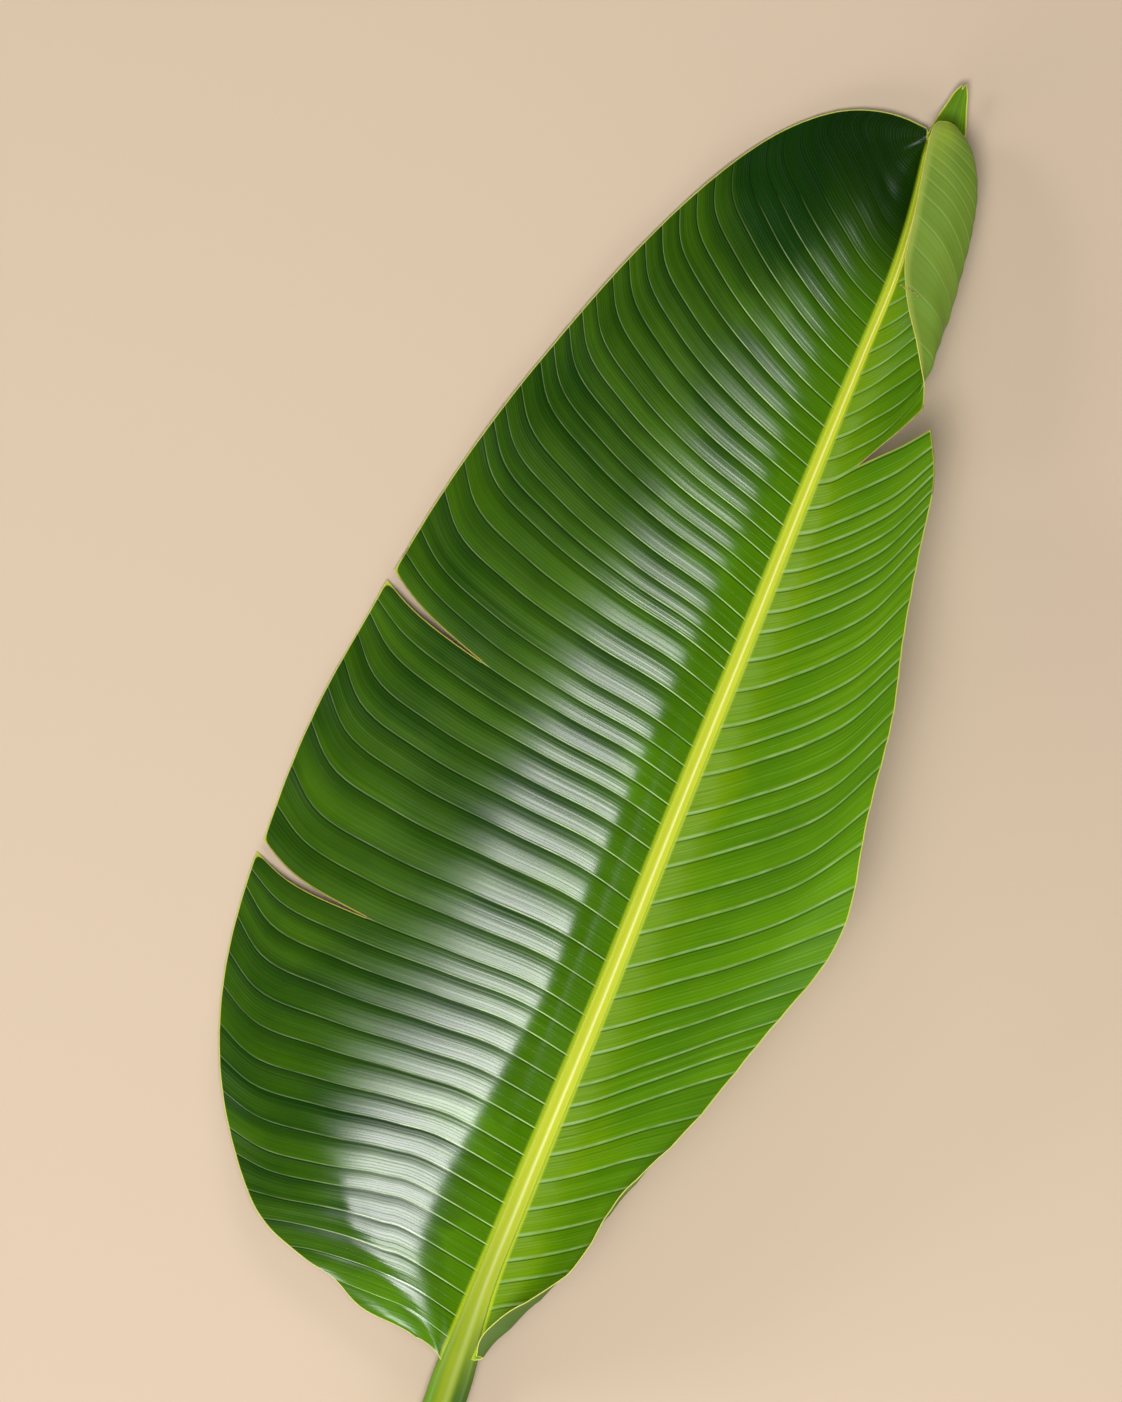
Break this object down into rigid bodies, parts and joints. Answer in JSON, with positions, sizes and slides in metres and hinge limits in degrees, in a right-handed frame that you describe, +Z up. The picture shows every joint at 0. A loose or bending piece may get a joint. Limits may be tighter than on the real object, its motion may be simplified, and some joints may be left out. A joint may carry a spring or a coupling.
{
  "type": "white bird of paradise leaf",
  "caption": "Broad pleated leaf on a channelled stalk, one half lying nearly flat and the other standing up and rolling in at the tip.",
  "frame": {"origin": "on the flat underside of the keel, where the blade begins above the stalk", "axes": "+Y along the midrib from the stalk to the apex, +X towards the narrow half that stands up, +Z up from the surface it lies on to the glossy face"},
  "size_m": [0.3091, 0.9011, 0.1069],
  "materials": {
    "blade": "smooth waxy green leaf skin, glossy above and dull sage below",
    "midrib": "satin yellow-green stalk and midrib",
    "margin": "thin dry yellow edge, brown at the splits"
  },
  "bodies": {
    "root": {"leaf": "blade"}
  },
  "joints": []
}
